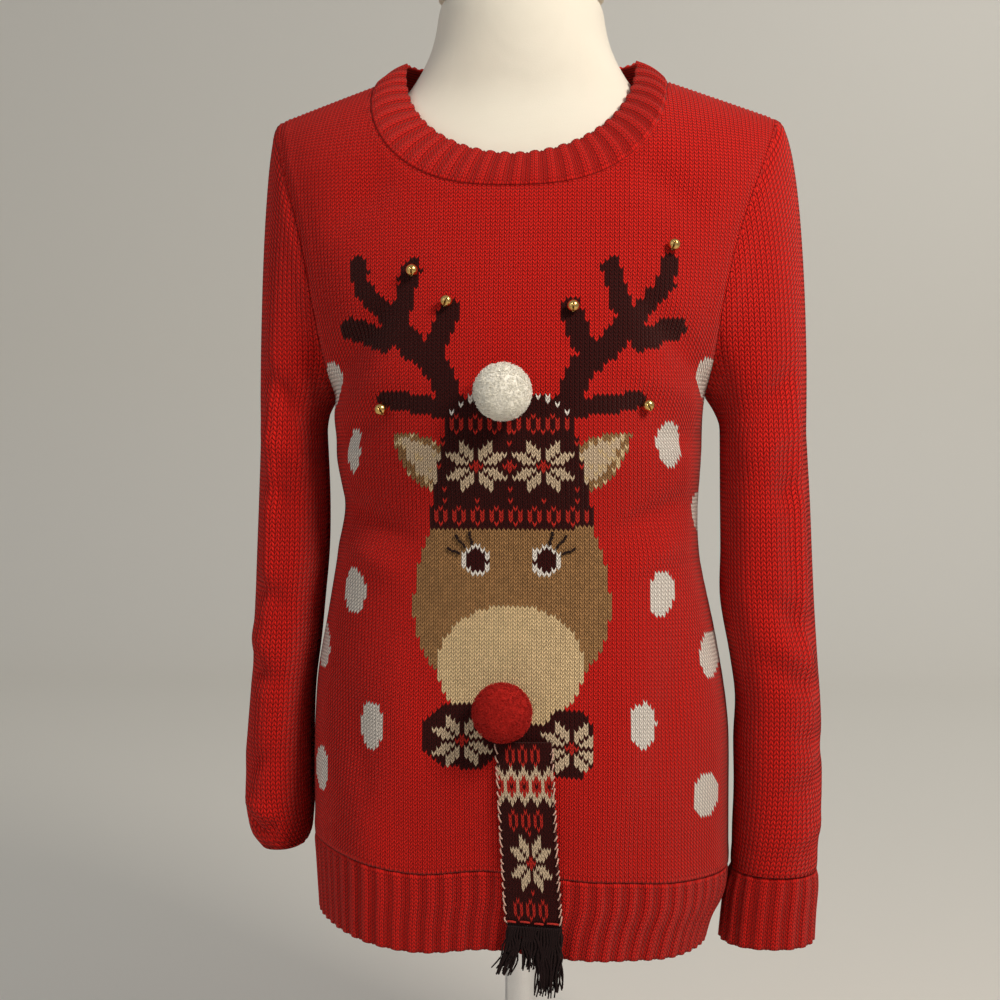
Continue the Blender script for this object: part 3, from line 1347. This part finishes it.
def makeTail(material):
    wales = tail["wales"]
    rows = tail["rows"]
    pitch = (tail["top"] - tail["end"]) / rows
    column = np.arange(-wales, wales + 1)
    between = column % 2 == 0
    across = (column / wales)[:, None]
    level = np.broadcast_to(np.arange(rows + 1) * pitch, (len(column), rows + 1)).copy()
    level[:, 1:-1] += (between * stitch["slant"] * pitch)[:, None]
    height = tail["end"] + level
    curl = -0.0012 * np.abs(across) ** 6
    relief = curl - between[:, None] * 0.0004
    outer = tailPoint(across + height * 0, height, relief)
    pickColumns = everySo(len(column), liningStep["tail"][0])
    pickLevels = everySo(rows + 1, liningStep["tail"][1])
    pick = np.ix_(pickColumns, pickLevels)
    inner = tailPoint((across + height * 0)[pick], height[pick],
                      (curl + height * 0)[pick] - cloth["knit"] + 0.0003)
    colours = np.empty((len(column) - 1, rows, 3))
    for k in range(len(column) - 1):
        wale = k // 2
        for j in range(rows):
            colours[k, j] = paintTail(wale, rows - 1 - j)
    return shell("knit_scarf_tail", outer, inner, pickColumns, pickLevels, False, colours, column + 1,
                 material)


print("the scarf's end and its fringe")
tailLook = dict(yarnLook, relief=0.0009)
tailMaterial = makeKnitMaterial("scarf_yarn", tailLook)
scarfTail = makeTail(tailMaterial)
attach(scarfTail, "root")
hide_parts("scarf_tail")

creamYarn = makeYarnMaterial("edge_yarn", (0.66, 0.40, 0.31), scale=1400.0)
darkYarn = makeYarnMaterial("fringe_yarn", (0.012, 0.0035, 0.0032), scale=1200.0)
redYarn = makeYarnMaterial("stitching_yarn", (0.48, 0.03, 0.02), scale=1400.0)

# slanted stitches over both edges of the tail
edgePaths = []
for sign in (-1, 1):
    for index in range(int((tail["top"] - tail["end"]) / tail["edgeStitch"])):
        low = tail["end"] + 0.002 + index * tail["edgeStitch"]
        lean = 0.0028 + 0.0012 * math.sin(index * 1.7 + sign)
        path = [tailPoint(np.array(sign * 0.93), np.array(low), 0.0003),
                tailPoint(np.array(sign * 0.985), np.array(low + lean * 0.7), 0.0007),
                tailPoint(np.array(sign * 1.02), np.array(low + lean * 1.4), 0.0),
                tailPoint(np.array(sign * 1.025), np.array(low + lean * 1.7), -0.0014)]
        edgePaths.append(smoothPath(path, 7))
points, faces = strandMesh(edgePaths, 0.00055, 6)
edgeStitches = newMesh("tail_edge_stitches", points, faces, creamYarn)
# a running stitch across its foot
runPaths = []
runHeight = tail["end"] + 0.0026
for start, end, rise in ((-0.92, -0.62, 0.0), (-0.45, -0.12, 0.0004),
                         (0.05, 0.36, -0.0003), (0.50, 0.90, 0.0003)):
    path = [tailPoint(np.array(start), np.array(runHeight + rise), -0.0002),
            tailPoint(np.array((start + end) / 2), np.array(runHeight + 0.0006 + rise), 0.0009),
            tailPoint(np.array(end), np.array(runHeight - 0.0002 + rise), -0.0002)]
    runPaths.append(smoothPath(path, 9))
points, faces = strandMesh(runPaths, 0.0008, 6)
runningStitch = newMesh("tail_running_stitch", points, faces, redYarn)
for piece in (edgeStitches, runningStitch):
    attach(piece, "root")


fringeYarn = {
    "strands": 116,
    "layers": 5,
    "radius": 0.00078,
}
# across up to, height of the feet and how much it varies, sway to the left
fringeBunches = [
    (-0.45, 0.2050, 0.006, -0.009),
    (0.12, 0.2130, 0.004, 0.001),
    (1.10, 0.1955, 0.005, 0.000),
]


def makeFringe(material):
    # strands hung from the tail's foot: a short bunch swings right, a long one hangs left
    paths = []
    strands = fringeYarn["strands"]
    for index in range(strands):
        part = index / (strands - 1) * 2 - 1
        layer = index % fringeYarn["layers"]
        wander = math.sin(index * 2.4) * 0.5 + math.sin(index * 5.3 + 1.0) * 0.5
        across = tailMiddle(tail["end"]) + (tail["half"] - 0.001) * part
        root, normal = frontAt(across, tail["end"] + 0.001)
        y = root[1] - tail["lift"] - 0.0006 - layer * 0.0011
        x = root[0]
        bunch = next(row for row in fringeBunches if part < row[0])
        foot = bunch[1] + bunch[2] * (abs(wander) if part < fringeBunches[0][0] else wander)
        sway = bunch[3] + 0.004 * wander
        drop = tail["end"] - foot
        kink = 0.0014 * math.sin(index * 3.9)
        paths.append(smoothPath([(x, y, tail["end"] - 0.0005),
                                 (x + sway * 0.06 + kink, y - 0.0006, tail["end"] - drop * 0.22),
                                 (x + sway * 0.22 - kink, y - 0.0010, tail["end"] - drop * 0.45),
                                 (x + sway * 0.55 + kink, y - 0.0012 + 0.0008 * wander,
                                  tail["end"] - drop * 0.72),
                                 (x + sway, y - 0.0005 + 0.0012 * wander, foot)], 15))
    paths = np.array(paths)
    share = np.linspace(0, 1, 15)
    radii = fringeYarn["radius"] * (1 - 0.35 * share ** 3) * (1 + 0.08 * np.sin(share * 40))
    points, faces = strandMesh(paths, radii[None, :], 7)
    return newMesh("yarn_fringe", points, faces, material)


fringe = makeFringe(darkYarn)
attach(fringe, "root")
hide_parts("scarf_fringe")


# lashes over the eyes
lash = {
    "dashes": 3,
    "radius": 0.0010,
    # angle, and from and to in millimetres from the eye's middle
    "rows": ((104, 12.0, 22.5), (130, 12.4, 25.0), (158, 12.8, 24.0)),
}
lashPaths = []
for sign in (-1, 1):
    for angle, start, end in lash["rows"]:
        turned = math.radians(angle)
        middle = motif["eye"][0]
        stretch = (end - start) / lash["dashes"]
        for dash in range(lash["dashes"]):
            steps = []
            for part, aside in ((0.0, -0.45), (0.42, 0.1), (0.84, 0.55)):
                reach = start + (dash + part) * stretch
                aside *= 1 if dash % 2 else -1
                x = sign * (middle - reach * math.cos(turned) + aside * math.sin(turned)) / 1000
                z = (motif["eye"][1] + reach * math.sin(turned) + aside * math.cos(turned)) / 1000
                point, normal = frontAt(x, z)
                steps.append(point + normal * 0.0007)
            lashPaths.append(smoothPath(steps, 5))
points, faces = strandMesh(lashPaths, lash["radius"], 6)
lashes = newMesh("eye_lashes", points, faces, darkYarn)
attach(lashes, "root")


# pompoms
# across and height, radius, depth, unevenness, yarn ends
pompoms = {
    "hat": ((-0.003, 0.6295), 0.0205, 0.0170, 0.020, 4200),
    "nose": ((-0.004, 0.3985), 0.0215, 0.0160, 0.010, 4200),
}


def makePompom(name, place, radius, depth, rough, tufts, material, seed):
    # a ball of yarn: an uneven core and short curled ends standing out of it
    across, height = place
    point, normal = frontAt(across, height)
    centre = point + normal * (depth + 0.0006)
    mesh = bmesh.new()
    bmesh.ops.create_icosphere(mesh, subdivisions=6, radius=1.0)
    start = np.array([v.co[:] for v in mesh.verts])
    faces = [[v.index for v in f.verts] for f in mesh.faces]
    mesh.free()

    def bumps(direction):
        value = (np.sin(direction[:, 0] * 9.0 + 2.1 * np.sin(direction[:, 2] * 7.0 + seed))
                 * np.sin(direction[:, 2] * 8.0 + 1.7 * np.sin(direction[:, 1] * 9.0)) * 0.5)
        value = value + 0.35 * np.sin(direction[:, 1] * 23.0 + 3 * np.sin(direction[:, 0] * 17.0))
        value = value + 0.25 * np.sin(direction[:, 0] * 41.0 + 4 * np.sin(direction[:, 2] * 29.0))
        return value

    scale = np.array((radius, depth, radius)) * 0.955
    core = start * scale * (1 + rough * bumps(start))[:, None]
    numbers = np.random.default_rng(seed)
    where = unit(numbers.normal(size=(tufts, 3)))
    root = where * scale * (1 + rough * bumps(where))[:, None]
    out = unit(where / scale)
    slide = unit(np.cross(out, numbers.normal(size=(tufts, 3))))
    length = numbers.uniform(0.5, 1.0, size=(tufts, 1)) * radius * 0.11
    one = root - out * 0.0004
    two = root + out * length * 0.45 + slide * length * 0.5
    three = root + out * length * 0.75 + slide * length * 1.3
    paths = np.stack([one, two, three], 1)
    widths = np.array((1.0, 0.8, 0.35)) * radius * 0.012
    points, strandFaces = strandMesh(paths, widths[None, :], 4)
    points = np.concatenate([core, points])
    allFaces = faces + [[i + len(core) for i in face] for face in strandFaces]
    points = points + centre
    surface, _ = frontAt(points[:, 0], points[:, 2])
    points[:, 1] = np.minimum(points[:, 1], surface[:, 1] - 0.0005)
    return newMesh(name, points, allFaces, material)


print("pompoms and bells")
whiteFluff = makeYarnMaterial("white_fluff", (0.90, 0.86, 0.76), 0.95, 0.30, 0.06, 700.0)
redFelt = makeYarnMaterial("red_felt", (0.46, 0.014, 0.009), 0.95, 0.20, 0.22, 900.0)
for name, kind, material, slotName, seed in (
        ("hat_fluff", "hat", whiteFluff, "pompom", 3),
        ("nose_felt", "nose", redFelt, "nose", 5)):
    piece = makePompom(name, *pompoms[kind], material, seed)
    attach(piece, "root")
    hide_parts(kind + "_pompom")


# jingle bells
bell = {
    "radius": 0.0043,
    "wall": 0.0004,
    "slotWidth": 0.0014,
    "places": [(-0.0713, 0.718), (-0.0454, 0.695), (-0.0930, 0.618),
               (0.0454, 0.691), (0.1166, 0.737), (0.0972, 0.621)],
}


def deselectAll():
    for thing in bpy.context.scene.objects:
        thing.select_set(False)


def activate(thing):
    deselectAll()
    bpy.context.view_layer.objects.active = thing
    thing.select_set(True)


def applyModifiers(thing):
    activate(thing)
    for modifier in list(thing.modifiers):
        bpy.ops.object.modifier_apply(modifier=modifier.name)


def makeMetal(name, dark, light, low, high, metallic, scale, detail=5.0, softness=0.6):
    # two tones and a roughness that wanders from low to high
    material, tree, shader = principled(name)
    noise = addNoise(tree, scale, detail, softness)
    tree.links.new(mixTones(tree, noise, dark, light), shader.inputs["Base Color"])
    rough = newNode(tree, "ShaderNodeMapRange", {"Value": noise, "To Min": low, "To Max": high})
    tree.links.new(rough.outputs["Result"], shader.inputs["Roughness"])
    shader.inputs["Metallic"].default_value = metallic
    return material


def makeBell(material):
    # one hollow bell with a cross slot at its foot, a raised seam and a sewing loop
    radius = bell["radius"]
    deselectAll()
    bpy.ops.mesh.primitive_uv_sphere_add(segments=32, ring_count=20, radius=radius, location=(0, 0, 0))
    body = bpy.context.object
    body.name = "bell_master"
    bpy.ops.object.mode_set(mode="EDIT")
    bpy.ops.mesh.select_mode(type="FACE")
    bpy.ops.mesh.select_all(action="DESELECT")
    bpy.ops.object.mode_set(mode="OBJECT")
    for face in body.data.polygons:
        face.select = face.center.z < -radius * 0.42 and (
            abs(face.center.x) < bell["slotWidth"] / 2.2 and abs(face.center.y) < radius * 0.8)
    bpy.ops.object.mode_set(mode="EDIT")
    bpy.ops.mesh.delete(type="FACE")
    bpy.ops.mesh.select_mode(type="VERT")
    bpy.ops.mesh.select_all(action="SELECT")
    bpy.ops.transform.resize(value=(1.0, 1.0, 0.96))
    bpy.ops.object.mode_set(mode="OBJECT")
    for vert in body.data.vertices:
        vert.select = abs(vert.co.z) < radius * 0.05
    bpy.ops.object.mode_set(mode="EDIT")
    bpy.ops.transform.resize(value=(1.05, 1.05, 1.0))
    bpy.ops.object.mode_set(mode="OBJECT")
    solid = body.modifiers.new("wall", "SOLIDIFY")
    solid.thickness = bell["wall"]
    solid.offset = -1.0
    applyModifiers(body)
    deselectAll()
    bpy.ops.mesh.primitive_torus_add(major_segments=20, minor_segments=8, major_radius=0.0007,
                                     minor_radius=0.00025, location=(0, 0, radius),
                                     rotation=(math.pi / 2, 0, 0))
    loop = bpy.context.object
    body.select_set(True)
    bpy.context.view_layer.objects.active = body
    bpy.ops.object.join()
    body.data.materials.clear()
    body.data.materials.append(material)
    body.data.shade_smooth()
    bpy.ops.object.transform_apply(location=True, rotation=True, scale=True)
    return body


brass = makeMetal("bell_brass", (0.62, 0.36, 0.10), (0.84, 0.58, 0.22), 0.14, 0.34, 1.0, 600.0, 3.0, 0.5)
master = makeBell(brass)
for index, place in enumerate(bell["places"]):
    point, normal = frontAt(*place)
    centre = point + normal * (bell["radius"] + 0.0006)
    data = master.data.copy()
    roll = Matrix.Rotation(0.5 * math.sin(index * 2.1), 4, "Y")
    data.transform(Matrix.Translation(Vector(centre)) @ roll @ Matrix.Rotation(-1.05, 4, "X"))
    piece = addObject(f"jingle_bell_{index + 1}", data)
    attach(piece, "root")
    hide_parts(f"bell_{index + 1}")
bpy.data.objects.remove(master, do_unlink=True)


# the dress form and its stand
print("form and stand")


def makeFormMaterial():
    # cream jersey drawn tight over foam
    material, tree, shader = principled("form_jersey")
    broad = addNoise(tree, 14.0, 4.0)
    fine = addNoise(tree, 1100.0, 2.0)
    place = newNode(tree, "ShaderNodeTexCoord")
    weave = newNode(tree, "ShaderNodeTexWave",
                    {"Vector": place.outputs["Object"], "Scale": 420.0, "Distortion": 1.5, "Detail": 2.0},
                    bands_direction="Z")
    tone = mixTones(tree, broad, (0.76, 0.70, 0.58), (0.87, 0.82, 0.70))
    tree.links.new(tone, shader.inputs["Base Color"])
    height = plus(tree, weave.outputs["Fac"], times(tree, fine, 0.8))
    bump = newNode(tree, "ShaderNodeBump", {"Height": height, "Distance": 0.00025, "Strength": 0.5})
    tree.links.new(bump.outputs[0], shader.inputs["Normal"])
    clothFinish(shader, 0.82, 0.12, 0.25)
    return material


formSmooth = {
    "voxel": 0.006,
    "factor": 0.5,
    "rounds": 14,
}
formMaterial = makeFormMaterial()
solidForm = frame["nodes"]["dress_form"]
form = addObject("form_cover", solidForm.data.copy())
form.data.materials.clear()
form.data.materials.append(formMaterial)
remesh = form.modifiers.new("even", "REMESH")
remesh.mode = "VOXEL"
remesh.voxel_size = formSmooth["voxel"]
smooth = form.modifiers.new("smooth", "SMOOTH")
smooth.factor = formSmooth["factor"]
smooth.iterations = formSmooth["rounds"]
applyModifiers(form)
form.data.shade_smooth()
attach(form, "root")
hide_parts("dress_form")


def paintNode(name, material):
    node = frame["nodes"][name]
    node.data.materials.clear()
    node.data.materials.append(material)


paintNode("neck_cap", formMaterial)
chrome = makeMetal("pole_chrome", (0.62, 0.61, 0.60), (0.78, 0.78, 0.79), 0.08, 0.20, 1.0, 60.0)
enamel = makeMetal("base_enamel", (0.030, 0.030, 0.032), (0.050, 0.050, 0.052), 0.30, 0.46, 0.3, 90.0)
paintNode("stand_pole", chrome)
paintNode("stand_base", enamel)


# the room
room = {
    "wall": (0.84, 0.81, 0.74),
    "wide": 6.0,
    "front": -5.0,
    "wallAt": 2.6,
    "sweep": 0.8,
    "tall": 4.5,
}


def makeBackdrop():
    profile = [(room["front"], 0.0)]
    bend = room["sweep"]
    back = room["wallAt"] + bend
    for step in range(13):
        angle = math.pi / 2 * step / 12
        profile.append((back - bend + bend * math.sin(angle), bend - bend * math.cos(angle)))
    profile.append((back, room["tall"]))
    points = [(x, y, z - 0.001) for x in (-room["wide"], room["wide"]) for y, z in profile]
    count = len(profile)
    faces = [(i, i + count, i + count + 1, i + 1) for i in range(count - 1)]
    data = bpy.data.meshes.new("backdrop")
    data.from_pydata(points, [], faces)
    data.shade_smooth()
    material, tree, shader = principled("backdrop_paint")
    shader.inputs["Base Color"].default_value = (*room["wall"], 1)
    shader.inputs["Roughness"].default_value = 0.7
    data.materials.append(material)
    return addObject("backdrop", data)


backdrop = makeBackdrop()


def addArea(name, place, target, size, power, colour):
    bpy.ops.object.light_add(type="AREA", location=place)
    light = bpy.context.object
    light.name = name
    light.data.size = size
    light.data.energy = power
    light.data.color = colour
    light.rotation_euler = (Vector(target) - Vector(place)).to_track_quat("-Z", "Y").to_euler()


# place, aim, size, power, colour
lamps = {
    "key": ((0.95, -1.02, 1.56), (0.02, 0.0, 0.78), 0.45, 23.0, (1.0, 0.93, 0.84)),
    "fill": ((-1.6, -1.7, 1.2), (0.0, 0.0, 0.55), 1.6, 5.0, (0.94, 0.97, 1.0)),
    "wall": ((1.6, 1.4, 2.4), (0.4, 3.4, 0.9), 1.5, 15.5, (1.0, 0.97, 0.92)),
}
for name, values in lamps.items():
    addArea(name, *values)
sky = {
    "colour": (0.94, 0.95, 0.97, 1.0),
    "strength": 0.34,
}
world = bpy.data.worlds.new("room_light")
bpy.context.scene.world = world
world.use_nodes = True
background = world.node_tree.nodes["Background"]
background.inputs["Color"].default_value = sky["colour"]
background.inputs["Strength"].default_value = sky["strength"]
bpy.context.scene.view_settings.view_transform = "Standard"

viewFrom = {
    "azimuth": 4.1,
    "distance": 1.366,
    "height": 0.61,
    "aimHeight": 0.5468,
    "aimShift": -0.0166,
    "lens": 62.28,
}
turn = math.radians(viewFrom["azimuth"])
eye = Vector((viewFrom["distance"] * math.sin(turn), -viewFrom["distance"] * math.cos(turn),
              viewFrom["height"]))
aim = Vector((viewFrom["aimShift"] * math.cos(turn), viewFrom["aimShift"] * math.sin(turn),
              viewFrom["aimHeight"]))
bpy.ops.object.camera_add(location=eye)
camera = bpy.context.object
camera.rotation_euler = (aim - eye).to_track_quat("-Z", "Y").to_euler()
camera.data.lens = viewFrom["lens"]
camera.data.sensor_width = 36.0
bpy.context.scene.camera = camera
